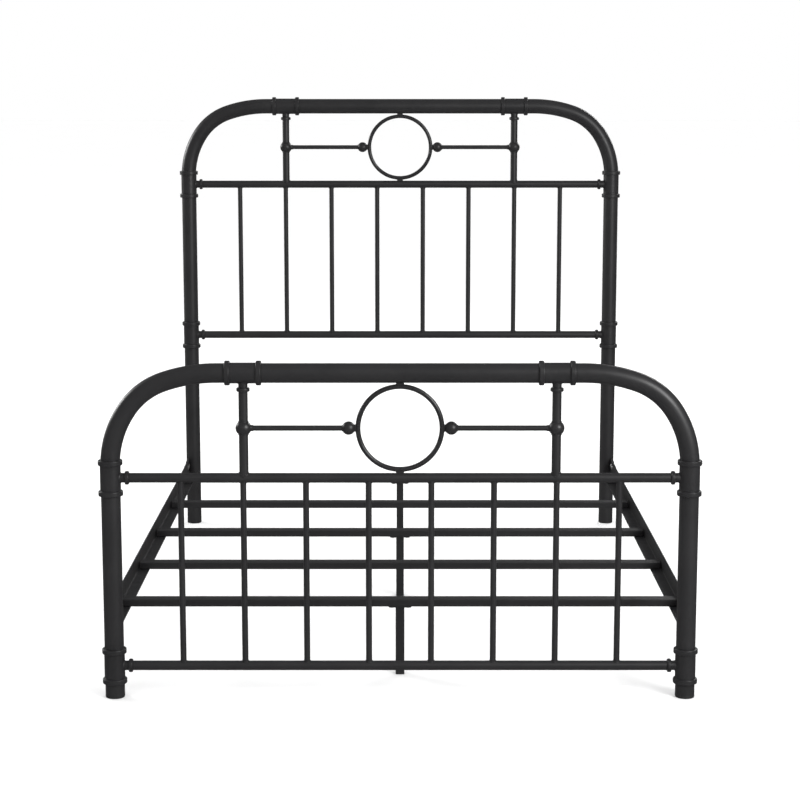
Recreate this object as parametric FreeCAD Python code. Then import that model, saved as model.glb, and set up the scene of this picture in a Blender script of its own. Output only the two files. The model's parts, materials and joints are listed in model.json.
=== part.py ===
"""A metal bed frame for a queen mattress: arched head and foot ends, side rails, slats, centre legs.

Millimetres. +X is to the right seen from the foot of the bed, +Y runs from foot to head and +Z is up.
The origin is on the floor, midway between the two ends and midway between the legs.
"""
import FreeCAD
import Part
import math
import os

Vector = FreeCAD.Vector
ORIGIN = Vector(0, 0, 0)
ALONG_X = Vector(1, 0, 0)
ALONG_Y = Vector(0, 1, 0)
ALONG_Z = Vector(0, 0, 1)

# Layout of the whole bed
END_SPACING = 2096.0  # footboard plane to headboard plane
LEG_X = 752.0  # centre line to leg axis
FOOTBOARD_TOP = 864.0  # floor to the top tube's axis
HEADBOARD_TOP = 1507.0
PANEL_DROP = 275.0  # top tube's axis down to the upper rail's axis
FOOTBOARD_LOWER_RAIL = 85.0  # floor to the lower rail's axis
HEADBOARD_LOWER_RAIL = 692.0

# Tubes and bars: outer diameters and walls
FRAME_TUBE = 51.0
FRAME_WALL = 1.5
RAIL_TUBE = 25.4
RAIL_WALL = 1.2
POST_TUBE = 24.0
POST_WALL = 1.2
SPINDLE_TUBE = 16.0
SPINDLE_WALL = 1.0
BAR = 14.0

# The arch: three tangent arcs, from the leg up to the top tube, as (radius, degrees turned)
ARCH_ARCS = ((265.0, 34.0), (190.0, 37.0), (420.0, 19.0))

# Spindles and posts
SPINDLE_COUNT = 8
SPINDLE_PITCH = 162.9
POST_X = 405.0

# Cast tees: a sleeve on the frame tube between two beads, with a beaded branch for the smaller tube
SLEEVE = 54.0
BEAD = 64.0
BEAD_WIDTH = 13.0
BEAD_ROUNDING = 2.2
BEAD_ROOT = 0.6  # fillet where a bead meets its sleeve or branch
BEAD_SPACING = 81.0
BRANCH_BEAD_RISE = 5.2
BRANCH_BEAD_WIDTH = 10.0
BRANCH_BEAD_ROUNDING = 2.6
BRANCH_BEAD_REACH = 43.0  # frame tube's axis to the middle of the branch bead
BRANCH_SOCKET_DEPTH = 7.0
BRANCH_ROOT_FILLET = 3.0

# Ring with its studs, balls and knuckles
RING = 230.5  # outer diameter
RING_ROD = 13.0
TUBE_STUD_WAIST = 20.0  # width of the studs above and below the ring
TUBE_STUD_HOLLOW = 3.0  # radius of the hollow in each side of those studs
BALL_STUD_WIDTH = 18.0
STUD_DEPTH = 9.0
RING_BALL = 35.0
RING_BALL_X = 133.0
RING_BALL_SOCKET = 8.0  # ball's centre to the end of the bar
KNUCKLE = 41.0
KNUCKLE_SOCKET = 14.0  # post's axis to the end of the bar
KNUCKLE_NECK = 20.0  # diameter where the bar ends
KNUCKLE_NECK_TIP = 14.8
KNUCKLE_NECK_REACH = 24.0  # post's axis to the neck's tip

# Plastic caps in the legs
CAP_HEIGHT = 8.0
CAP_ROUNDING = 2.5
CAP_SEAM = 0.8  # rounding of the cap's upper edge, where it meets the leg
CAP_PLUG = 18.0
CAP_PLUG_WALL = 3.0

# Angle-iron side rails and the bracket plates that they are bolted to
RAIL_CLEAR_WIDTH = 1529.0
ANGLE_HEIGHT = 50.0
ANGLE_WIDTH = 35.0
ANGLE_THICKNESS = 3.0
ANGLE_BOTTOM = 190.0
ANGLE_HEEL = 2.0  # outer corner's radius
ANGLE_ROOT = 3.0  # inner corner's radius
ANGLE_TOE = 1.2  # radius of the flanges' edges
ANGLE_END_GAP = 4.0
BRACKET_LENGTH = 90.0  # leg axis to the plate's end
BRACKET_THICKNESS = 4.0
BRACKET_CORNER = 10.0
RAIL_BOLT_OFFSETS = (45.0, 75.0)  # from the leg axis
RAIL_BOLT_RISE = 27.0  # above the side rail's underside

# Slats and centre legs
SLAT_COUNT = 5
SLAT_WIDTH = 40.0
SLAT_HEIGHT = 20.0
SLAT_WALL = 1.2
SLAT_CORNER = 2.5
SLAT_END_GAP = 4.0
SLAT_BOLT_INSET = 19.0  # side rail's outer face to the bolt
LEGGED_SLATS = (0, 2, 4)
CENTRE_LEG = 24.0  # square tube
CENTRE_LEG_WALL = 1.5
CENTRE_LEG_CORNER = 2.0
LEG_PLATE_LENGTH = 62.0
LEG_PLATE_WIDTH = 36.0
LEG_PLATE_THICKNESS = 3.0
LEG_PLATE_CORNER = 5.0
LEG_BOLT_X = 22.0

# Levelling glides under the centre legs
GLIDE_HEIGHT = 8.0
GLIDE_ROUNDING = 1.0
GLIDE_GAP = 0.3
STEM = 8.0
STEM_LENGTH = 25.0
INSERT_HEIGHT = 12.0
THREAD_CLEARANCE = 0.05

# Fasteners
M6 = 6.0
M6_ACROSS_FLATS = 10.0
M6_HEAD = 4.0
M6_NUT = 5.0
M6_LENGTH = 13.0
M8 = 8.0
M8_ACROSS_FLATS = 13.0
M8_NUT = 6.5
M8_LENGTH = 15.0
M8_DOME = 18.0
M8_DOME_HEIGHT = 3.0
HOLE_CLEARANCE = 0.3


def rod(diameter, start, end):
    """A solid round bar between two points."""
    span = end - start
    return Part.makeCylinder(diameter / 2, span.Length, start, span)


def tube(diameter, wall, start, end):
    """A round tube with open ends between two points."""
    return rod(diameter, start, end).cut(rod(diameter - 2 * wall, start, end))


def block(low, high):
    """A box from its lowest to its highest corner."""
    size = high - low
    return Part.makeBox(size.x, size.y, size.z, low)


def hexagon(across_flats, height, base, direction):
    """A hexagonal prism standing on base and pointing along direction."""
    radius = across_flats / math.sqrt(3)
    corners = [Vector(radius * math.cos(math.radians(60 * k)), radius * math.sin(math.radians(60 * k)), 0)
               for k in range(7)]
    prism = Part.Face(Part.makePolygon(corners)).extrude(Vector(0, 0, height))
    prism.Placement = FreeCAD.Placement(base, FreeCAD.Rotation(ALONG_Z, direction))
    return prism


def outline(corners):
    """A closed face in the XZ plane through (x, z, rounding) corners, each rounded by that radius."""
    points = [Vector(x, 0, z) for x, z, _ in corners]
    edges = []
    runs = []
    for index, (_, _, rounding) in enumerate(corners):
        here = points[index]
        back = (points[index - 1] - here).normalize()
        ahead = (points[(index + 1) % len(points)] - here).normalize()
        half_angle = back.getAngle(ahead) / 2
        reach = rounding / math.tan(half_angle)
        arc_start = here + back * reach
        arc_end = here + ahead * reach
        if rounding:
            middle = here + (back + ahead).normalize() * (rounding / math.sin(half_angle) - rounding)
            edges.append(Part.Arc(arc_start, middle, arc_end).toShape())
        runs.append((arc_start, arc_end))
    for index, (_, leaving) in enumerate(runs):
        arriving = runs[(index + 1) % len(runs)][0]
        edges.append(Part.makeLine(leaving, arriving))
    return Part.Face(Part.Wire(Part.__sortEdges__(edges)))


def turned(corners):
    """A solid turned about Z from (radius, z, rounding) corners of its half section."""
    return outline([(-radius, z, rounding) for radius, z, rounding in corners]).revolve(ORIGIN, ALONG_Z, 360)


def rectangle(low_x, low_z, high_x, high_z, rounding):
    """The four corners of an outline, all with the same rounding."""
    corners = ((low_x, low_z), (high_x, low_z), (high_x, high_z), (low_x, high_z))
    return [(x, z, rounding) for x, z in corners]


def moved(shape, position, axis=ALONG_Z, degrees=0.0):
    """A copy of shape, turned about the origin and then moved to position."""
    copy = shape.copy()
    copy.Placement = FreeCAD.Placement(position, FreeCAD.Rotation(axis, degrees)).multiply(copy.Placement)
    return copy


def mirrored(shape):
    """The same shape on the other side of the bed's centre line."""
    return shape.mirror(ORIGIN, ALONG_X)


def bent_rod(diameter, edges):
    """A solid round bar along a plane path of tangent edges that starts upwards."""
    section = Part.Wire(Part.makeCircle(diameter / 2, edges[0].Vertexes[0].Point, ALONG_Z))
    return Part.Wire(edges).makePipeShell([section], True, False)


def arch_path(end_y, top, start_z):
    """The left bend's centre line: up from start_z, round three arcs, and along to the top tee."""
    turned_so_far = 0.0
    x = -LEG_X
    z = top - arch_rise()
    edges = [Part.makeLine(Vector(x, end_y, start_z), Vector(x, end_y, z))]
    for radius, degrees in ARCH_ARCS:
        points = []
        for share in (0.0, 0.5, 1.0):
            angle = math.radians(turned_so_far + share * degrees)
            start = math.radians(turned_so_far)
            points.append(Vector(x + radius * (math.cos(start) - math.cos(angle)), end_y,
                                 z + radius * (math.sin(angle) - math.sin(start))))
        edges.append(Part.Arc(*points).toShape())
        turned_so_far += degrees
        x = points[-1].x
        z = points[-1].z
    edges.append(Part.makeLine(Vector(x, end_y, z), Vector(-POST_X, end_y, z)))
    return edges


def arch_rise():
    """Height that the three arcs of the arch climb."""
    turned_so_far = 0.0
    rise = 0.0
    for radius, degrees in ARCH_ARCS:
        start = math.radians(turned_so_far)
        turned_so_far += degrees
        rise += radius * (math.sin(math.radians(turned_so_far)) - math.sin(start))
    return rise


def socket_start():
    """Distance from the frame tube's axis to where a branch tube's end seats."""
    return BRANCH_BEAD_REACH + BRANCH_BEAD_WIDTH / 2 - BRANCH_SOCKET_DEPTH


def tee(branch):
    """A cast tee with no bore yet: sleeve along Z between two beads, branch towards +X."""
    half = (BEAD_SPACING + BEAD_WIDTH) / 2
    neck = (BEAD_SPACING - BEAD_WIDTH) / 2
    sleeve = turned([
        (0, -half, 0), (BEAD / 2, -half, BEAD_ROUNDING), (BEAD / 2, -neck, BEAD_ROUNDING),
        (SLEEVE / 2, -neck, BEAD_ROOT), (SLEEVE / 2, neck, BEAD_ROOT),
        (BEAD / 2, neck, BEAD_ROUNDING), (BEAD / 2, half, BEAD_ROUNDING), (0, half, 0),
    ])
    bead_low = BRANCH_BEAD_REACH - BRANCH_BEAD_WIDTH / 2
    bead_high = BRANCH_BEAD_REACH + BRANCH_BEAD_WIDTH / 2
    rim = branch / 2 + BRANCH_BEAD_RISE
    boss = turned([
        (0, 0, 0), (branch / 2, 0, 0), (branch / 2, bead_low, BEAD_ROOT),
        (rim, bead_low, BRANCH_BEAD_ROUNDING), (rim, bead_high, BRANCH_BEAD_ROUNDING), (0, bead_high, 0),
    ])
    body = sleeve.fuse(moved(boss, ORIGIN, ALONG_Y, 90))
    root = [edge for edge in body.Edges
            if edge.BoundBox.XMin > 0 and edge.BoundBox.XMax < SLEEVE / 2 + 0.1
            and edge.BoundBox.ZLength > branch / 2 and edge.BoundBox.ZMax < branch / 2 + 0.1]
    body = body.makeFillet(BRANCH_ROOT_FILLET, root)
    return body.cut(rod(branch, Vector(socket_start(), 0, 0), Vector(bead_high + 1, 0, 0)))


def leg_cap(position):
    """A plastic cap: a rounded foot under the leg and a hollow plug up inside it."""
    bore = FRAME_TUBE / 2 - FRAME_WALL
    top = CAP_HEIGHT + CAP_PLUG
    cap = turned([
        (0, 0, 0), (FRAME_TUBE / 2, 0, CAP_ROUNDING), (FRAME_TUBE / 2, CAP_HEIGHT, CAP_SEAM),
        (bore, CAP_HEIGHT, 0), (bore, top, 0), (bore - CAP_PLUG_WALL, top, 0),
        (bore - CAP_PLUG_WALL, CAP_HEIGHT, 0), (0, CAP_HEIGHT, 0),
    ])
    return moved(cap, position)


def spindles(end_y, lower, upper):
    """Upright tubes between the two rails, with their ends coped to fit the rails."""
    rails = [rod(RAIL_TUBE, Vector(-LEG_X, end_y, z), Vector(LEG_X, end_y, z)) for z in (lower, upper)]
    first_x = -SPINDLE_PITCH * (SPINDLE_COUNT - 1) / 2
    pieces = []
    for index in range(SPINDLE_COUNT):
        x = first_x + index * SPINDLE_PITCH
        upright = tube(SPINDLE_TUBE, SPINDLE_WALL, Vector(x, end_y, lower), Vector(x, end_y, upper))
        pieces.append(largest(upright.cut(rails)))
    return pieces


def largest(shape):
    """The biggest solid of a shape, without the offcuts."""
    return max(shape.Solids, key=lambda solid: solid.Volume)


def ball(diameter, centre):
    """A sphere with its poles above and below and its seam towards the head of the bed."""
    return moved(Part.makeSphere(diameter / 2), centre, ALONG_Z, 90)


def tube_stud():
    """A short block up from the ring's axis to past the tube above it, with a hollow in each side."""
    hollow_x = TUBE_STUD_WAIST / 2 + TUBE_STUD_HOLLOW
    reach = (PANEL_DROP - (FRAME_TUBE + RAIL_TUBE) / 2) / 2
    depth = ALONG_Y * (STUD_DEPTH / 2)
    low = Vector(-hollow_x, 0, (RING - RING_ROD) / 2)
    high = Vector(hollow_x, 0, RING_BALL_X)
    stud = block(low - depth, high + depth)
    for x in (-hollow_x, hollow_x):
        hollow = Vector(x, 0, (RING / 2 + reach) / 2)
        stud = stud.cut(rod(2 * TUBE_STUD_HOLLOW, hollow - depth, hollow + depth))
    return stud


def ring_studs(centre, ring, top_rod, rail_rod, right_ball):
    """Four short studs that hold the ring: above, right, below and left of it."""
    depth = ALONG_Y * (STUD_DEPTH / 2)
    half_width = ALONG_Z * (BALL_STUD_WIDTH / 2)
    ball_stud = block(ALONG_X * ((RING - RING_ROD) / 2) - half_width - depth,
                      ALONG_X * RING_BALL_X + half_width + depth)
    right = largest(moved(ball_stud, centre).cut([ring, right_ball]))
    above = largest(moved(tube_stud(), centre).cut([ring, top_rod]))
    below = largest(moved(tube_stud(), centre, ALONG_Y, 180).cut([ring, rail_rod]))
    return [above, right, below, mirrored(right)]


def ring_panel(end_y, top, upper):
    """The ring with its studs and balls, and the bars that tie it to the posts' knuckles."""
    gap_low = upper + RAIL_TUBE / 2
    gap_high = top - FRAME_TUBE / 2
    centre = Vector(0, end_y, (gap_low + gap_high) / 2)
    ring = Part.makeTorus((RING - RING_ROD) / 2, RING_ROD / 2, centre, ALONG_Y)
    knuckle_centre = centre + ALONG_X * POST_X
    bar_end = centre + ALONG_X * (POST_X - KNUCKLE_SOCKET)
    bar = rod(BAR, centre + ALONG_X * (RING_BALL_X + RING_BALL_SOCKET), bar_end)
    ring_ball = ball(RING_BALL, centre + ALONG_X * RING_BALL_X)
    neck = Part.makeCone(KNUCKLE_NECK / 2, KNUCKLE_NECK_TIP / 2, KNUCKLE_NECK_REACH - KNUCKLE_SOCKET,
                         bar_end, ALONG_X * -1)
    post_hole = rod(POST_TUBE, knuckle_centre - ALONG_Z * KNUCKLE, knuckle_centre + ALONG_Z * KNUCKLE)
    top_rod = rod(FRAME_TUBE, Vector(-POST_X, end_y, top), Vector(POST_X, end_y, top))
    rail_rod = rod(RAIL_TUBE, Vector(-POST_X, end_y, upper), Vector(POST_X, end_y, upper))
    studs = ring_studs(centre, ring, top_rod, rail_rod, ring_ball)
    ring_ball = ring_ball.cut(bar)
    knuckle = ball(KNUCKLE, knuckle_centre).fuse(neck).cut([bar, post_hole])
    return {
        "ring": [ring],
        "ring_studs": studs,
        "ring_balls": [mirrored(ring_ball), ring_ball],
        "bars": [mirrored(bar), bar],
        "knuckles": [mirrored(knuckle), knuckle],
    }


def bed_end(end_y, top, lower):
    """Every piece of a headboard or footboard, by name."""
    upper = top - PANEL_DROP
    leg = tube(FRAME_TUBE, FRAME_WALL, Vector(-LEG_X, end_y, CAP_HEIGHT), Vector(-LEG_X, end_y, upper))
    bend = bent_rod(FRAME_TUBE, arch_path(end_y, top, upper))
    bend = bend.cut(bent_rod(FRAME_TUBE - 2 * FRAME_WALL, arch_path(end_y, top, upper)))
    rail_rod = rod(RAIL_TUBE, Vector(-LEG_X, end_y, upper), Vector(LEG_X, end_y, upper))
    post_top = Vector(-POST_X, end_y, top - socket_start())
    post = tube(POST_TUBE, POST_WALL, Vector(-POST_X, end_y, upper), post_top)
    post = largest(post.cut(rail_rod))
    leg_rod = rod(FRAME_TUBE, Vector(-LEG_X, end_y, 0), Vector(-LEG_X, end_y, upper))
    arch_rod = bent_rod(FRAME_TUBE, arch_path(end_y, top, upper - BEAD_SPACING))
    top_rod = rod(FRAME_TUBE, Vector(-POST_X - BEAD_SPACING, end_y, top), Vector(0, end_y, top))
    upper_tee = moved(tee(RAIL_TUBE), Vector(-LEG_X, end_y, upper)).cut(arch_rod)
    lower_tee = moved(tee(RAIL_TUBE), Vector(-LEG_X, end_y, lower)).cut(leg_rod)
    top_tee = moved(tee(POST_TUBE), Vector(-POST_X, end_y, top), ALONG_Y, 90).cut(top_rod)
    plate = largest(bracket_plate(end_y).cut([leg_rod] + rail_bolt_holes(end_y, -1)))
    cap = leg_cap(Vector(-LEG_X, end_y, 0))

    pieces = {
        "left_leg": [leg],
        "right_leg": [mirrored(leg)],
        "left_bend": [bend],
        "right_bend": [mirrored(bend)],
        "top_tube": [tube(FRAME_TUBE, FRAME_WALL, Vector(-POST_X, end_y, top), Vector(POST_X, end_y, top))],
        "upper_rail": [rail_tube(end_y, upper)],
        "lower_rail": [rail_tube(end_y, lower)],
        "left_post": [post],
        "right_post": [mirrored(post)],
        "spindles": spindles(end_y, lower, upper),
        "upper_tees": [upper_tee, mirrored(upper_tee)],
        "lower_tees": [lower_tee, mirrored(lower_tee)],
        "top_tees": [top_tee, mirrored(top_tee)],
        "leg_caps": [cap, mirrored(cap)],
        "rail_brackets": [plate, mirrored(plate)],
    }
    pieces.update(ring_panel(end_y, top, upper))
    return pieces


def rail_tube(end_y, z):
    """A rail from one leg's tee to the other's."""
    reach = LEG_X - socket_start()
    return tube(RAIL_TUBE, RAIL_WALL, Vector(-reach, end_y, z), Vector(reach, end_y, z))


def bracket_plate(end_y):
    """The left plate that a side rail bolts to, from the leg's axis inwards, before it is cut to the leg."""
    corners = [
        (0, ANGLE_BOTTOM, 0), (BRACKET_LENGTH, ANGLE_BOTTOM, BRACKET_CORNER),
        (BRACKET_LENGTH, ANGLE_BOTTOM + ANGLE_HEIGHT, BRACKET_CORNER), (0, ANGLE_BOTTOM + ANGLE_HEIGHT, 0),
    ]
    plate = outline(corners).extrude(ALONG_Y * BRACKET_THICKNESS)
    inner_face = -(RAIL_CLEAR_WIDTH / 2 + ANGLE_THICKNESS)
    if end_y < 0:
        return moved(plate, Vector(inner_face, end_y, 0), ALONG_Z, 90)
    return moved(plate, Vector(inner_face - BRACKET_THICKNESS, end_y, 0), ALONG_Z, -90)


def rail_bolt_places(end_y):
    """Where the two bolts at one end of a side rail sit along Y."""
    inward = -math.copysign(1, end_y)
    return [end_y + inward * offset for offset in RAIL_BOLT_OFFSETS]


def rail_bolt_holes(end_y, side):
    """Cutters for the bolt holes through a side rail and its bracket plate."""
    z = ANGLE_BOTTOM + RAIL_BOLT_RISE
    inside = side * (RAIL_CLEAR_WIDTH / 2 - M8)
    outside = side * (RAIL_CLEAR_WIDTH / 2 + ANGLE_THICKNESS + BRACKET_THICKNESS + M8)
    return [rod(M8 + 2 * HOLE_CLEARANCE, Vector(inside, y, z), Vector(outside, y, z))
            for y in rail_bolt_places(end_y)]


def slat_places():
    """Y of each slat's middle, evenly spaced between the two ends."""
    pitch = END_SPACING / SLAT_COUNT
    return [(index + 0.5) * pitch - END_SPACING / 2 for index in range(SLAT_COUNT)]


def slat_bolt_x():
    """Distance from the centre line to the bolts that hold the slats on the side rails."""
    return RAIL_CLEAR_WIDTH / 2 + ANGLE_THICKNESS - SLAT_BOLT_INSET


def m6_hole(x, y):
    """Cutter for an upright bolt hole through a side rail's flange or a slat's lower wall."""
    bottom = ANGLE_BOTTOM - M6
    return rod(M6 + 2 * HOLE_CLEARANCE, Vector(x, y, bottom), Vector(x, y, bottom + 2 * M6 + SLAT_WALL))


def side_rail(side):
    """An L-shaped rail with its flange turned in under the slats, and its bolt holes."""
    inner = RAIL_CLEAR_WIDTH / 2
    outer = inner + ANGLE_THICKNESS
    half_length = (END_SPACING - FRAME_TUBE) / 2 - ANGLE_END_GAP
    top = ANGLE_BOTTOM + ANGLE_HEIGHT
    flange_top = ANGLE_BOTTOM + ANGLE_THICKNESS
    section = outline([
        (outer, ANGLE_BOTTOM, ANGLE_HEEL), (outer, top, ANGLE_TOE), (inner, top, ANGLE_TOE),
        (inner, flange_top, ANGLE_ROOT), (outer - ANGLE_WIDTH, flange_top, ANGLE_TOE),
        (outer - ANGLE_WIDTH, ANGLE_BOTTOM, ANGLE_TOE),
    ])
    section.translate(Vector(0, -half_length, 0))
    angle = section.extrude(Vector(0, 2 * half_length, 0))
    holes = [m6_hole(slat_bolt_x(), y) for y in slat_places()]
    for end_y in (-END_SPACING / 2, END_SPACING / 2):
        holes += rail_bolt_holes(end_y, 1)
    rail = angle.cut(holes)
    return rail if side > 0 else mirrored(rail)


def slat(y, has_leg):
    """A flat rectangular tube across the bed, lying on both side rails."""
    half_length = RAIL_CLEAR_WIDTH / 2 - SLAT_END_GAP
    half_width = SLAT_WIDTH / 2
    inner = half_width - SLAT_WALL
    outside = outline(rectangle(-half_width, 0, half_width, SLAT_HEIGHT, SLAT_CORNER))
    inside = outline(rectangle(-inner, SLAT_WALL, inner, SLAT_HEIGHT - SLAT_WALL, SLAT_CORNER - SLAT_WALL))
    bar = outside.cut(inside).extrude(ALONG_Y * 2 * half_length)
    bar = moved(bar, Vector(half_length, y, ANGLE_BOTTOM + ANGLE_THICKNESS), ALONG_Z, 90)
    hole_xs = [-slat_bolt_x(), slat_bolt_x()]
    if has_leg:
        hole_xs += [-LEG_BOLT_X, LEG_BOLT_X]
    return bar.cut([m6_hole(x, y) for x in hole_xs])


def m6_bolt(x, y):
    """A hexagon bolt pointing up, with its head under a 3 mm plate."""
    base = Vector(x, y, ANGLE_BOTTOM - M6_HEAD)
    head = hexagon(M6_ACROSS_FLATS, M6_HEAD, base, ALONG_Z)
    return head.fuse(rod(M6, Vector(x, y, ANGLE_BOTTOM), Vector(x, y, ANGLE_BOTTOM + M6_LENGTH)))


def m6_weld_nut(x, y):
    """A nut welded on the inner face of a slat's lower wall."""
    base = Vector(x, y, ANGLE_BOTTOM + ANGLE_THICKNESS + SLAT_WALL)
    nut = hexagon(M6_ACROSS_FLATS, M6_NUT, base, ALONG_Z)
    return nut.cut(rod(M6 + 2 * THREAD_CLEARANCE, base, base + ALONG_Z * M6_NUT))


def upright(length, width, rounding, base, height):
    """A bar standing on base, with a rectangular section whose corners are rounded."""
    section = outline(rectangle(-length / 2, -width / 2, length / 2, width / 2, rounding))
    return moved(section.extrude(ALONG_Y * height), base, ALONG_X, 90)


def centre_leg_bore(base, height):
    """The space inside a centre leg's square tube, from base upwards."""
    bore = CENTRE_LEG - 2 * CENTRE_LEG_WALL
    return upright(bore, bore, CENTRE_LEG_CORNER - CENTRE_LEG_WALL, base, height)


def centre_leg(y):
    """A square leg tube with a flat plate on top that bolts up under the slat."""
    plate_base = Vector(0, y, ANGLE_BOTTOM + ANGLE_THICKNESS - LEG_PLATE_THICKNESS)
    foot = Vector(0, y, GLIDE_HEIGHT + GLIDE_GAP)
    height = plate_base.z - foot.z
    leg = upright(CENTRE_LEG, CENTRE_LEG, CENTRE_LEG_CORNER, foot, height).cut(centre_leg_bore(foot, height))
    plate = upright(LEG_PLATE_LENGTH, LEG_PLATE_WIDTH, LEG_PLATE_CORNER, plate_base, LEG_PLATE_THICKNESS)
    plate = plate.cut([m6_hole(x, y) for x in (-LEG_BOLT_X, LEG_BOLT_X)])
    return leg.fuse(plate)


def leg_insert(y):
    """A threaded plug pressed into the foot of a centre leg."""
    base = Vector(0, y, GLIDE_HEIGHT + GLIDE_GAP)
    plug = centre_leg_bore(base, INSERT_HEIGHT)
    return plug.cut(rod(STEM + 2 * THREAD_CLEARANCE, base, base + ALONG_Z * INSERT_HEIGHT))


def glide(y):
    """A levelling glide: a square plastic foot, as wide as the leg, whose stem screws into the insert."""
    foot = upright(CENTRE_LEG, CENTRE_LEG, CENTRE_LEG_CORNER, ORIGIN, GLIDE_HEIGHT)
    lower_edges = [edge for edge in foot.Edges if edge.BoundBox.ZMax < GLIDE_HEIGHT / 2]
    foot = foot.makeFillet(GLIDE_ROUNDING, lower_edges)
    stem = rod(STEM, Vector(0, 0, GLIDE_HEIGHT), Vector(0, 0, GLIDE_HEIGHT + STEM_LENGTH))
    return moved(foot.fuse(stem), Vector(0, y, 0))


def rail_bolt(y, side):
    """A dome-headed bolt through a side rail and its bracket, with the head inside the bed."""
    z = ANGLE_BOTTOM + RAIL_BOLT_RISE
    seat = RAIL_CLEAR_WIDTH / 2
    shank = rod(M8, Vector(seat, y, z), Vector(seat + M8_LENGTH, y, z))
    dome_radius = ((M8_DOME / 2) ** 2 + M8_DOME_HEIGHT ** 2) / (2 * M8_DOME_HEIGHT)
    dome_centre = Vector(seat - M8_DOME_HEIGHT + dome_radius, y, z)
    dome = Part.makeSphere(dome_radius, dome_centre)
    dome = dome.common(rod(M8_DOME, Vector(seat - M8_DOME, y, z), Vector(seat, y, z)))
    bolt = dome.fuse(shank)
    return bolt if side > 0 else mirrored(bolt)


def rail_nut(y, side):
    """A nut on the outside of a bracket plate."""
    plate_outside = RAIL_CLEAR_WIDTH / 2 + ANGLE_THICKNESS + BRACKET_THICKNESS
    seat = Vector(plate_outside, y, ANGLE_BOTTOM + RAIL_BOLT_RISE)
    nut = hexagon(M8_ACROSS_FLATS, M8_NUT, seat, ALONG_X)
    nut = nut.cut(rod(M8 + 2 * THREAD_CLEARANCE, seat, seat + ALONG_X * M8_NUT))
    return nut if side > 0 else mirrored(nut)


def platform():
    """Side rails, slats, centre legs, glides and their fasteners, by name."""
    places = slat_places()
    leg_places = [places[index] for index in LEGGED_SLATS]
    pieces = {"side_rail_left": [side_rail(-1)], "side_rail_right": [side_rail(1)]}
    for index, y in enumerate(places):
        pieces[f"slat_{index + 1}"] = [slat(y, index in LEGGED_SLATS)]
    for index, y in enumerate(leg_places):
        pieces[f"centre_leg_{index + 1}"] = [centre_leg(y)]
        pieces[f"glide_{index + 1}"] = [glide(y)]
    slat_holes = [(side * slat_bolt_x(), y) for y in places for side in (-1, 1)]
    leg_holes = [(side * LEG_BOLT_X, y) for y in leg_places for side in (-1, 1)]
    corners = [(y, side) for end_y in (-END_SPACING / 2, END_SPACING / 2)
               for y in rail_bolt_places(end_y) for side in (-1, 1)]
    pieces["leg_inserts"] = [leg_insert(y) for y in leg_places]
    pieces["slat_bolts"] = [m6_bolt(x, y) for x, y in slat_holes]
    pieces["leg_bolts"] = [m6_bolt(x, y) for x, y in leg_holes]
    pieces["weld_nuts"] = [m6_weld_nut(x, y) for x, y in slat_holes + leg_holes]
    pieces["rail_bolts"] = [rail_bolt(y, side) for y, side in corners]
    pieces["rail_nuts"] = [rail_nut(y, side) for y, side in corners]
    return pieces


def main():
    """Build every piece and write one file for each name."""
    os.makedirs("parts", exist_ok=True)
    pieces = platform()
    for prefix, end_y, top, lower in (
        ("footboard", -END_SPACING / 2, FOOTBOARD_TOP, FOOTBOARD_LOWER_RAIL),
        ("headboard", END_SPACING / 2, HEADBOARD_TOP, HEADBOARD_LOWER_RAIL),
    ):
        for name, solids in bed_end(end_y, top, lower).items():
            pieces[f"{prefix}_{name}"] = solids
    for name, solids in sorted(pieces.items()):
        shape = solids[0] if len(solids) == 1 else Part.makeCompound(solids)
        assert shape.isValid(), name
        shape.exportStep(f"parts/{name}.step")
        print(f"{name:28s} {len(shape.Solids)} solids  {shape.Volume / 1000:9.1f} cm3")
    print(len(pieces), "nodes")


main()
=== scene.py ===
"""Looks of the metal bed frame.

The CAD nodes get powder coat, plastic or zinc, weld beads are added where tubes and plates are welded,
and a pale studio lights them. Lengths are in metres unless a comment says otherwise.
"""
import json
import math
import random

import bpy
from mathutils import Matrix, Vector


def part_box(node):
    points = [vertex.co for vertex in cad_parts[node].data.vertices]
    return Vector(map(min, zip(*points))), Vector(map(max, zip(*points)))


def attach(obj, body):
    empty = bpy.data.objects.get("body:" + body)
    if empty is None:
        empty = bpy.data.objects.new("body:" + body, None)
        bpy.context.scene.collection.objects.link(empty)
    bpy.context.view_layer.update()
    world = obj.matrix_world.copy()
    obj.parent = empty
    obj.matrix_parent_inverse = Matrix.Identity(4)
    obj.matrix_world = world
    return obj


UP = Vector((0, 0, 1))
DOWN = Vector((0, 0, -1))
RIGHT = Vector((1, 0, 0))

# Camera
CAMERA_PLACE = (0.0, -6.22, 1.635)
CAMERA_PITCH = 80.76  # degrees from looking straight down
CAMERA_LENS = 91.38  # millimetres
CAMERA_SENSOR = 36.0  # millimetres

# Broad lights from far off: (name, azimuth, elevation, strength, size). Angles are in degrees, and azimuth
# is measured to the right from in front of the foot end.
SUNS = (
    ("top", 0.0, 86.0, 1.5, 80.0),
    ("front", -15.0, 30.0, 0.7, 70.0),
    ("rear", 165.0, 30.0, 0.5, 70.0),
)
# Softboxes that also show as reflections: (name, place, where it points, width, height, watts)
SOFTBOXES = (
    ("key", (3.2, -4.15, 2.5), (0.0, -1.0, 0.8), 1.8, 1.8, 148.0),
    ("rim", (-5.5, 3.3, 2.7), (-0.6, -1.0, 0.8), 1.2, 1.6, 160.0),
    ("behind", (3.4, 5.6, 3.4), (0.0, 1.0, 1.1), 1.8, 1.8, 95.0),
)
# How bright the white surroundings are for the camera, for matt surfaces and in reflections
SEEN_SURROUNDINGS = 1.0
DIFFUSE_SURROUNDINGS = 0.41
GLOSSY_SURROUNDINGS = 0.12
WHITE = (1.0, 1.0, 1.0, 1.0)  # with opacity
FLOOR_SIZE = 120.0

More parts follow.
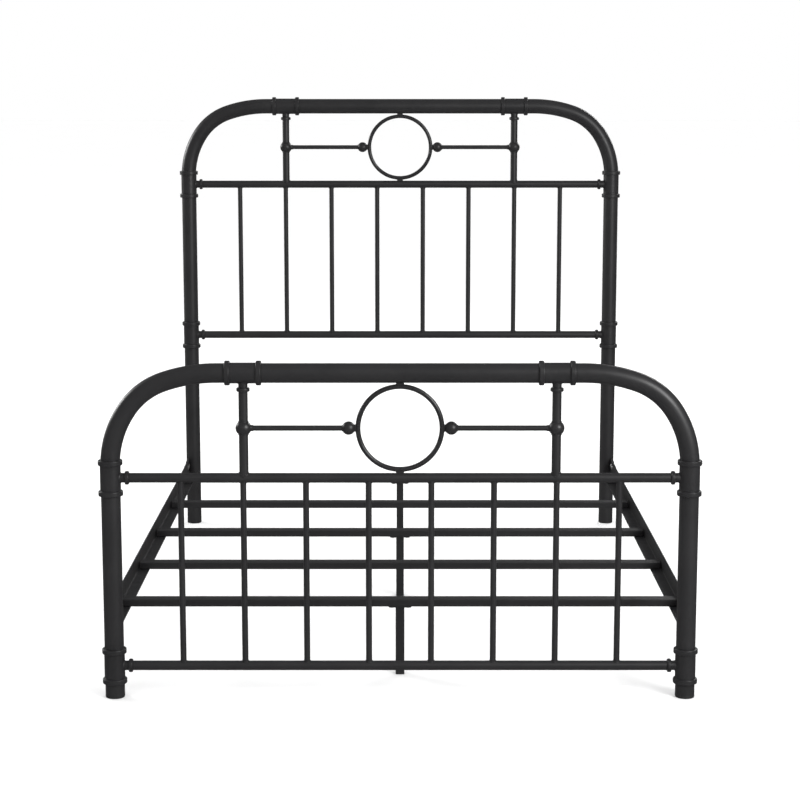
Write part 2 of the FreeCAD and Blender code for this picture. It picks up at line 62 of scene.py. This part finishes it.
# Colours: red, green and blue in linear light
CHARCOAL = (0.0142, 0.0139, 0.0149)
CHARCOAL_LIGHT = (0.0185, 0.0180, 0.0190)
CHARCOAL_DARK = (0.0135, 0.0133, 0.0140)
BLACK_PLASTIC = (0.016, 0.016, 0.0165)
ZINC_BLUE = (0.50, 0.52, 0.56)
ZINC_YELLOW = (0.62, 0.60, 0.54)
FLOOR_DARK = (0.96, 0.96, 0.96)
FLOOR_LIGHT = (0.98, 0.98, 0.98)

# Parts of a noise's range: most of its values, the core of them, and only its peaks
MOST = (0.3, 0.7)
CORE = (0.35, 0.65)
PEAKS = (0.55, 0.75)
WHOLE = (0.0, 1.0)

# Weld beads
WELD_RADIUS = 0.0017
POST_WELD_RADIUS = 0.0020
KNUCKLE_WELD_RADIUS = 0.0016
NECK_WELD_RADIUS = 0.0013
BALL_WELD_RADIUS = 0.0014
WELD_STEPS = 72
WELD_SIDES = 10
WELD_WOBBLE = 0.14  # share of the bead's radius
WELD_WAVES = ((5, 0.5), (11, 0.35), (17, 0.25))  # waves round a bead that closes, and their strength
STRIP_WAVE = 40.0  # radians of wave along a straight bead
WELD_LIFT = 0.1  # how far a bead stands off its joint, as a share of its radius
TUBE_WELD_LIFT = 0.15  # the same for a bead between two tubes
WELD_LEAN = 0.8  # how far a bead round a bar leans along the bar, against 1 away from it
SQUARENESS = 8.0  # how sharp the corners of a bead round a square tube are
WELD_SEED = 7

# Counts and sizes that the boxes do not give
SPINDLES = 8
CENTRE_LEGS = 3
KNUCKLE_NECK = 0.010  # bar's end to the tip of the knuckle's neck
BRACKET_THICKNESS = 0.004
LEG_PLATE_THICKNESS = 0.003
GLIDE_FOOT_HEIGHT = 0.008
THREAD_PITCH = 0.00125
THREAD_RELIEF = 0.0005  # twice the depth of the thread

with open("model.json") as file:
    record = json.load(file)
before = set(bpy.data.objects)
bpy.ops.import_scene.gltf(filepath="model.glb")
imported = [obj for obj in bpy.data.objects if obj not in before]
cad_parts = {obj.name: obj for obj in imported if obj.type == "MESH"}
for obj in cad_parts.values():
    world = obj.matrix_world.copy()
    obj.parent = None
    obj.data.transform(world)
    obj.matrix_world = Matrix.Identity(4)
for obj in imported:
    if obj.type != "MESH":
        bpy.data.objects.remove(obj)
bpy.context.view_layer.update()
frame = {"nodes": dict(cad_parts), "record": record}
chance = random.Random(WELD_SEED)


# ---------------------------------------------------------------- materials

class Nodes:
    """A short way to write a node tree: most methods give back a socket for the next one to use."""

    # The sockets of a colour mix go by number, because several share a name
    MIX_FACTOR = 0
    MIX_COLOURS = (6, 7)
    MIX_RESULT = 2

    def __init__(self, owner, output_kind):
        """An empty tree with its output; owner is a material or a world."""
        owner.use_nodes = True
        owner.node_tree.nodes.clear()
        self.tree = owner.node_tree
        self.output = self.add(output_kind)

    def add(self, kind, inputs=None, **settings):
        """Adds a node; an input that is a socket is linked, and any other value is set."""
        node = self.tree.nodes.new(kind)
        for name, value in settings.items():
            setattr(node, name, value)
        for key, value in (inputs or {}).items():
            if isinstance(value, bpy.types.NodeSocket):
                self.tree.links.new(value, node.inputs[key])
            else:
                node.inputs[key].default_value = value
        return node

    def place(self):
        """The point on the surface, in the object's own metres."""
        return self.add("ShaderNodeTexCoord").outputs["Object"]

    def noise(self, scale, detail=3.0, roughness=0.5, distortion=0.0):
        """Noise over the surface: scale is how many features fit in a metre."""
        inputs = {"Vector": self.place(), "Scale": scale, "Detail": detail, "Roughness": roughness,
                  "Distortion": distortion}
        return self.add("ShaderNodeTexNoise", inputs).outputs["Fac"]

    def spread(self, value, old, new):
        """Maps the range old onto the range new and holds it there."""
        inputs = {"Value": value, "From Min": old[0], "From Max": old[1],
                  "To Min": new[0], "To Max": new[1]}
        return self.add("ShaderNodeMapRange", inputs).outputs["Result"]

    def calculate(self, operation, first, second):
        """One step of arithmetic."""
        return self.add("ShaderNodeMath", {0: first, 1: second}, operation=operation).outputs[0]

    def blend(self, factor, first, second):
        """A colour between two colours."""
        inputs = {self.MIX_FACTOR: factor}
        for index, colour in zip(self.MIX_COLOURS, (first, second)):
            inputs[index] = colour if isinstance(colour, bpy.types.NodeSocket) else (*colour, 1.0)
        return self.add("ShaderNodeMix", inputs, data_type="RGBA").outputs[self.MIX_RESULT]

    def bump(self, height, distance, strength=1.0, normal=None):
        """A surface normal from a height, in metres of relief."""
        inputs = {"Height": height, "Distance": distance, "Strength": strength}
        if normal is not None:
            inputs["Normal"] = normal
        return self.add("ShaderNodeBump", inputs).outputs["Normal"]

    def principled(self, inputs):
        """The general shader."""
        return self.add("ShaderNodeBsdfPrincipled", inputs).outputs[0]

    def background(self, strength):
        """White surroundings."""
        return self.add("ShaderNodeBackground", {"Color": WHITE, "Strength": strength}).outputs[0]

    def mix_shaders(self, factor, first, second):
        """A shader between two shaders."""
        return self.add("ShaderNodeMixShader", {0: factor, 1: first, 2: second}).outputs[0]

    def finish(self, shader):
        """Sends a shader to the output."""
        self.tree.links.new(shader, self.output.inputs[0])


def new_material(name):
    """An empty material and its nodes."""
    material = bpy.data.materials.new(name)
    return material, Nodes(material, "ShaderNodeOutputMaterial")


def brighter(colour, times):
    """A colour made so many times as bright."""
    return tuple(times * channel for channel in colour)


def powder_coat(name, dark, light, roughness, peel_size, peel_depth, lump_depth=None):
    """Powder coat over steel, with orange peel, a cloudy tone and varied gloss.

    lump_depth adds the coarser relief of a casting.
    """
    material, nodes = new_material(name)
    cloud = nodes.spread(nodes.noise(scale=9.0, detail=4.0, roughness=0.55), MOST, WHOLE)
    speck = nodes.spread(nodes.noise(scale=1500.0, detail=1.0), PEAKS, (0.0, 0.35))
    tone = nodes.blend(cloud, dark, light)
    tone = nodes.blend(speck, tone, brighter(light, times=1.9))
    smear = nodes.noise(scale=34.0, detail=5.0, roughness=0.6, distortion=0.4)
    smeared = nodes.spread(smear, MOST, (roughness - 0.05, roughness + 0.06))
    grain = nodes.spread(nodes.noise(scale=420.0, detail=2.0), CORE, (-0.03, 0.03))
    peel = nodes.noise(scale=1.0 / peel_size, detail=2.0, roughness=0.45)
    normal = nodes.bump(peel, peel_depth, strength=0.9)
    if lump_depth:
        lumps = nodes.noise(scale=120.0, detail=3.0, roughness=0.55)
        normal = nodes.bump(lumps, lump_depth, strength=0.8, normal=normal)
    nodes.finish(nodes.principled({
        "Base Color": tone,
        "Roughness": nodes.calculate("ADD", smeared, grain),
        "Normal": normal,
        "IOR": 1.5,
    }))
    return material


def plastic_shader(nodes):
    """Matt black plastic with a fine spark-eroded grain and paler scuffs."""
    scuff = nodes.spread(nodes.noise(scale=60.0, detail=6.0, roughness=0.7, distortion=0.8), PEAKS, WHOLE)
    grain = nodes.noise(scale=2600.0, detail=2.0, roughness=0.6)
    return nodes.principled({
        "Base Color": nodes.blend(scuff, BLACK_PLASTIC, brighter(BLACK_PLASTIC, times=1.8)),
        "Roughness": nodes.spread(nodes.noise(scale=90.0, detail=4.0), MOST, (0.55, 0.7)),
        "Normal": nodes.bump(grain, 0.00006, strength=0.8),
        "IOR": 1.48,
    })


def zinc_shader(nodes):
    """Zinc plate: pale metal, faintly blue and yellow in patches, with a satin grain."""
    patch = nodes.spread(nodes.noise(scale=160.0, detail=4.0, roughness=0.6), CORE, WHOLE)
    grain = nodes.noise(scale=1800.0, detail=2.0)
    return nodes.principled({
        "Base Color": nodes.blend(patch, ZINC_BLUE, ZINC_YELLOW),
        "Metallic": 1.0,
        "Roughness": nodes.spread(nodes.noise(scale=700.0), MOST, (0.28, 0.45)),
        "Normal": nodes.bump(grain, 0.00004, strength=0.6),
    })


def stem_shader(nodes, height):
    """Zinc plate with a screw thread, drawn as rings one pitch apart; height is along the stem."""
    turns = nodes.calculate("MULTIPLY", height, 1.0 / THREAD_PITCH)
    # Up for half a turn and down for the other half
    thread = nodes.calculate("PINGPONG", turns, 0.5)
    return nodes.principled({
        "Base Color": nodes.blend(nodes.noise(scale=160.0, detail=4.0), ZINC_BLUE, ZINC_YELLOW),
        "Metallic": 1.0,
        "Roughness": nodes.spread(nodes.noise(scale=700.0), MOST, (0.3, 0.45)),
        "Normal": nodes.bump(thread, THREAD_RELIEF),
    })


def moulded_plastic(name):
    """Plastic all over."""
    material, nodes = new_material(name)
    nodes.finish(plastic_shader(nodes))
    return material


def zinc_plate(name):
    """Zinc all over."""
    material, nodes = new_material(name)
    nodes.finish(zinc_shader(nodes))
    return material


def plastic_foot_and_stem(name):
    """A plastic foot with a threaded zinc stem above it."""
    material, nodes = new_material(name)
    height = nodes.add("ShaderNodeSeparateXYZ", {0: nodes.place()}).outputs["Z"]
    above = nodes.calculate("GREATER_THAN", height, GLIDE_FOOT_HEIGHT)
    nodes.finish(nodes.mix_shaders(above, plastic_shader(nodes), stem_shader(nodes, height)))
    return material


by_slot = {
    "coated_tube": powder_coat(
        "charcoal_tube", CHARCOAL, CHARCOAL_LIGHT, roughness=0.41, peel_size=0.0022, peel_depth=0.00010),
    "coated_castings": powder_coat(
        "charcoal_casting", CHARCOAL, CHARCOAL_LIGHT, roughness=0.38, peel_size=0.0018, peel_depth=0.00014,
        lump_depth=0.0007),
    "coated_platform": powder_coat(
        "charcoal_platform", CHARCOAL_DARK, CHARCOAL, roughness=0.46, peel_size=0.0022, peel_depth=0.00012),
    "black_plastic": moulded_plastic("cap_plastic"),
    "zinc_plated_steel": zinc_plate("zinc_plate"),
}
glide_finish = plastic_foot_and_stem("glide_plastic_and_stem")
ring_finish = powder_coat(
    "charcoal_ring", CHARCOAL, CHARCOAL_LIGHT, roughness=0.29, peel_size=0.0018, peel_depth=0.00006)


def finish_nodes():
    """Gives the glides and the rings a finish of their own, and every other CAD node that of its slot."""
    slots = {part["node"]: part["material_slot"] for part in frame["record"]["subparts"]}
    for name, node in frame["nodes"].items():
        if name.startswith("glide"):
            finish = glide_finish
        elif name.endswith("_ring"):
            finish = ring_finish
        else:
            finish = by_slot[slots[name]]
        node.data.materials.clear()
        node.data.materials.append(finish)


# ---------------------------------------------------------------- weld beads

def new_piece(name, points, faces, slot_name):
    """A smooth mesh that moves with the frame and takes a slot's finish."""
    mesh = bpy.data.meshes.new(name)
    mesh.from_pydata([tuple(point) for point in points], [], faces)
    mesh.update()
    mesh.shade_smooth()
    mesh.materials.append(by_slot[slot_name])
    piece = bpy.data.objects.new(name, mesh)
    bpy.context.scene.collection.objects.link(piece)
    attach(piece, "frame")


def ring_faces(first, steps, sides, closed=True):
    """Quads between successive rings of points that start at index first."""
    faces = []
    for step in range(steps if closed else steps - 1):
        ahead = (step + 1) % steps
        for side in range(sides):
            across = (side + 1) % sides
            faces.append((first + step * sides + side, first + ahead * sides + side,
                          first + ahead * sides + across, first + step * sides + across))
    return faces


class Beads:
    """Collects many weld beads into one piece."""

    def __init__(self):
        self.points = []
        self.faces = []

    def add_ring(self, centre, out, across, size):
        """One ring of points round centre, where out and across span the bead's section."""
        for side in range(WELD_SIDES):
            angle = math.tau * side / WELD_SIDES
            self.points.append(centre + (out * math.cos(angle) + across * math.sin(angle)) * size)

    def loop(self, centres, outwards, radius):
        """A bead that closes on itself; outwards are the directions from the joint to the open air."""
        first = len(self.points)
        steps = len(centres)
        phases = [chance.uniform(0, math.tau) for _ in WELD_WAVES]
        for step, centre in enumerate(centres):
            along = (centres[(step + 1) % steps] - centres[step - 1]).normalized()
            turn = math.tau * step / steps
            wobble = sum(strength * math.sin(waves * turn + phase)
                         for (waves, strength), phase in zip(WELD_WAVES, phases))
            size = radius * (1 + WELD_WOBBLE * wobble)
            out = outwards[step]
            out = (out - along * out.dot(along)).normalized()
            self.add_ring(centre, out, along.cross(out), size)
        self.faces += ring_faces(first, steps, WELD_SIDES)

    def on_tube(self, place, branch, run, branch_radius, run_radius, radius=WELD_RADIUS):
        """A bead where a branch tube leaves a run tube: place is on the run's axis."""
        side = branch.cross(run)
        centres = []
        outwards = []
        for step in range(WELD_STEPS):
            angle = math.tau * step / WELD_STEPS
            along_run = branch_radius * math.cos(angle)
            along_side = branch_radius * math.sin(angle)
            rise = math.sqrt(run_radius ** 2 - along_side ** 2)
            from_branch = run * math.cos(angle) + side * math.sin(angle)
            from_run = (side * along_side + branch * rise).normalized()
            out = (from_branch + from_run).normalized()
            point = place + run * along_run + side * along_side + branch * rise
            centres.append(point + out * radius * TUBE_WELD_LIFT)
            outwards.append(out)
        self.loop(centres, outwards, radius)

    def around(self, place, branch, branch_radius, radius):
        """A bead round a bar that points along branch, with place on the bar's axis."""
        first = branch.orthogonal().normalized()
        second = branch.cross(first)
        centres = []
        outwards = []
        for step in range(WELD_STEPS):
            angle = math.tau * step / WELD_STEPS
            from_branch = first * math.cos(angle) + second * math.sin(angle)
            out = (from_branch + branch * WELD_LEAN).normalized()
            centres.append(place + from_branch * branch_radius + out * radius * WELD_LIFT)
            outwards.append(out)
        self.loop(centres, outwards, radius)

    def on_ball(self, place, branch, branch_radius, ball_radius, radius):
        """A bead where a round bar leaves a ball: place is the ball's centre."""
        rise = math.sqrt(ball_radius ** 2 - branch_radius ** 2)
        self.around(place + branch * rise, branch, branch_radius, radius)

    def under_plate(self, place, half_width, radius=WELD_RADIUS):
        """A bead round a square tube that hangs from a plate: place is on the plate's underside."""
        centres = []
        outwards = []
        for step in range(WELD_STEPS):
            angle = math.tau * step / WELD_STEPS
            x = math.cos(angle)
            y = math.sin(angle)
            reach = half_width * (abs(x) ** SQUARENESS + abs(y) ** SQUARENESS) ** (-1 / SQUARENESS)
            slope = Vector((math.copysign(abs(x) ** (SQUARENESS - 1), x),
                            math.copysign(abs(y) ** (SQUARENESS - 1), y), 0)).normalized()
            out = (slope + DOWN).normalized()
            centres.append(place + Vector((x, y, 0)) * reach + out * radius * WELD_LIFT)
            outwards.append(out)
        self.loop(centres, outwards, radius)

    def strip(self, start, end, out, radius=WELD_RADIUS):
        """A straight bead with rounded ends: out points from the joint to the open air."""
        first = len(self.points)
        along = (end - start).normalized()
        out = (out - along * out.dot(along)).normalized()
        across = along.cross(out)
        phase = chance.uniform(0, math.tau)
        for step in range(WELD_STEPS):
            share = step / (WELD_STEPS - 1)
            from_end = min(share, 1 - share) * (end - start).length / radius
            cap = math.sqrt(1 - (1 - min(from_end, 1)) ** 2)
            size = radius * cap * (1 + WELD_WOBBLE * math.sin(share * STRIP_WAVE + phase))
            self.add_ring(start.lerp(end, share), out, across, size)
        self.faces += ring_faces(first, WELD_STEPS, WELD_SIDES, closed=False)

    def make_piece(self, name, slot_name):
        """Puts the collected beads in the scene."""
        new_piece(name, self.points, self.faces, slot_name)


def size_of(node_name):
    """A node's extent along each axis."""
    low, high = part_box(node_name)
    return high - low


def middle_of(node_name):
    """The middle of a node's box."""
    low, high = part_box(node_name)
    return (low + high) / 2


def weld_spindles(beads, end):
    """Beads at the foot and the head of each spindle."""
    upper = middle_of(end + "_upper_rail")
    lower = middle_of(end + "_lower_rail")
    rail_radius = size_of(end + "_upper_rail").z / 2
    radius = size_of(end + "_spindles").y / 2
    low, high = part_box(end + "_spindles")
    pitch = (high.x - low.x - 2 * radius) / (SPINDLES - 1)
    for index in range(SPINDLES):
        x = low.x + radius + index * pitch
        beads.on_tube(Vector((x, lower.y, lower.z)), UP, RIGHT, radius, rail_radius)
        beads.on_tube(Vector((x, upper.y, upper.z)), DOWN, RIGHT, radius, rail_radius)


def weld_ring_panel(beads, end):
    """Beads at the foot of each post, above and below its knuckle, and at both ends of each bar."""
    upper = middle_of(end + "_upper_rail")
    ring = middle_of(end + "_ring")
    rail_radius = size_of(end + "_upper_rail").z / 2
    post_x = middle_of(end + "_right_post").x
    post_radius = size_of(end + "_right_post").x / 2
    knuckle_radius = size_of(end + "_knuckles").y / 2
    bar_radius = size_of(end + "_bars").z / 2
    bar_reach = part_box(end + "_bars")[1].x
    ball_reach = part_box(end + "_ring_balls")[1].x
    for side in (-1, 1):
        post_foot = Vector((side * post_x, upper.y, upper.z))
        beads.on_tube(post_foot, UP, RIGHT, post_radius, rail_radius, POST_WELD_RADIUS)
        knuckle = Vector((side * post_x, ring.y, ring.z))
        for direction in (UP, DOWN):
            beads.on_ball(knuckle, direction, post_radius, knuckle_radius, KNUCKLE_WELD_RADIUS)
        neck_tip = Vector((side * (bar_reach - KNUCKLE_NECK), ring.y, ring.z))
        beads.around(neck_tip, RIGHT * -side, bar_radius, NECK_WELD_RADIUS)
        ball_edge = Vector((side * ball_reach, ring.y, ring.z))
        beads.around(ball_edge, RIGHT * side, bar_radius, BALL_WELD_RADIUS)


def weld_end(end):
    """All the weld beads of a headboard or footboard."""
    beads = Beads()
    weld_spindles(beads, end)
    weld_ring_panel(beads, end)
    beads.make_piece(end + "_welds", "coated_tube")


def weld_brackets(beads, end, inward):
    """Beads along both edges of each bracket plate: inward is 1 or -1, towards the bed's middle along Y."""
    low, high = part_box(end + "_rail_brackets")
    leg = middle_of(end + "_right_leg")
    leg_radius = size_of(end + "_right_leg").x / 2
    for face_x, facing in ((high.x, 1), (high.x - BRACKET_THICKNESS, -1)):
        across = face_x - leg.x
        along = math.sqrt(leg_radius ** 2 - across ** 2)
        for side in (-1, 1):
            radial = Vector((side * across, inward * along, 0)).normalized()
            joint = Vector((side * face_x, leg.y + inward * along, 0))
            out = radial + RIGHT * (side * facing)
            beads.strip(joint + UP * low.z, joint + UP * high.z, out)


def weld_centre_legs(beads):
    """Beads where the centre legs meet their top plates."""
    half_width = size_of("glide_1").x / 2
    for index in range(CENTRE_LEGS):
        low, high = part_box(f"centre_leg_{index + 1}")
        place = Vector((0, (low.y + high.y) / 2, high.z - LEG_PLATE_THICKNESS))
        beads.under_plate(place, half_width)


def weld_platform():
    """The weld beads that hold the bracket plates to the legs and the centre legs to their plates."""
    beads = Beads()
    weld_brackets(beads, "footboard", 1)
    weld_brackets(beads, "headboard", -1)
    weld_centre_legs(beads)
    beads.make_piece("platform_welds", "coated_platform")


# ---------------------------------------------------------------- floor, light and camera

def make_floor():
    """A plain pale floor that reflections leave out."""
    material, nodes = new_material("pale_floor")
    nodes.finish(nodes.principled({
        "Base Color": nodes.blend(nodes.noise(scale=0.8), FLOOR_DARK, FLOOR_LIGHT),
        "Roughness": 0.9,
        "Specular IOR Level": 0.2,
    }))
    half = FLOOR_SIZE / 2
    corners = [(-half, -half, 0), (half, -half, 0), (half, half, 0), (-half, half, 0)]
    mesh = bpy.data.meshes.new("floor")
    mesh.from_pydata(corners, [], [(0, 1, 2, 3)])
    mesh.materials.append(material)
    floor = bpy.data.objects.new("floor", mesh)
    bpy.context.scene.collection.objects.link(floor)
    floor.visible_glossy = False


def make_world():
    """White behind everything, a dim even light from all round, and darker still in reflections."""
    world = bpy.data.worlds.new("studio")
    nodes = Nodes(world, "ShaderNodeOutputWorld")
    seen = nodes.background(SEEN_SURROUNDINGS)
    soft = nodes.background(DIFFUSE_SURROUNDINGS)
    mirrored = nodes.background(GLOSSY_SURROUNDINGS)
    path = nodes.add("ShaderNodeLightPath")
    lit = nodes.mix_shaders(path.outputs["Is Glossy Ray"], soft, mirrored)
    nodes.finish(nodes.mix_shaders(path.outputs["Is Camera Ray"], lit, seen))
    bpy.context.scene.world = world


def add_lamp(light, place, back):
    """Puts a light in the scene: back is the direction from what it lights to the lamp."""
    lamp = bpy.data.objects.new(light.name, light)
    lamp.location = place
    lamp.rotation_mode = "QUATERNION"
    lamp.rotation_quaternion = back.to_track_quat("Z", "Y")
    bpy.context.scene.collection.objects.link(lamp)
    return lamp


def make_sun(name, azimuth, elevation, strength, size):
    """A broad soft light from far away that reflections leave out."""
    light = bpy.data.lights.new(name, "SUN")
    light.energy = strength
    light.angle = math.radians(size)
    across = math.radians(azimuth)
    up = math.radians(elevation)
    back = Vector((math.sin(across) * math.cos(up), -math.cos(across) * math.cos(up), math.sin(up)))
    sun = add_lamp(light, (0, 0, 0), back)
    sun.visible_glossy = False


def make_softbox(name, place, target, width, height, watts):
    """A rectangular soft light that points at target."""
    light = bpy.data.lights.new(name, "AREA")
    light.shape = "RECTANGLE"
    light.size = width
    light.size_y = height
    light.energy = watts
    add_lamp(light, place, Vector(place) - Vector(target))


def make_camera():
    """The camera in front of the foot end, a little above the headboard, looking down at the bed."""
    camera_data = bpy.data.cameras.new("camera")
    camera_data.lens = CAMERA_LENS
    camera_data.sensor_width = CAMERA_SENSOR
    camera = bpy.data.objects.new("camera", camera_data)
    camera.location = CAMERA_PLACE
    camera.rotation_euler = (math.radians(CAMERA_PITCH), 0, 0)
    bpy.context.scene.collection.objects.link(camera)
    bpy.context.scene.camera = camera


finish_nodes()
weld_end("footboard")
weld_end("headboard")
weld_platform()
make_floor()
make_world()
for sun_settings in SUNS:
    make_sun(*sun_settings)
for softbox_settings in SOFTBOXES:
    make_softbox(*softbox_settings)
make_camera()
bpy.context.scene.view_settings.view_transform = "Standard"
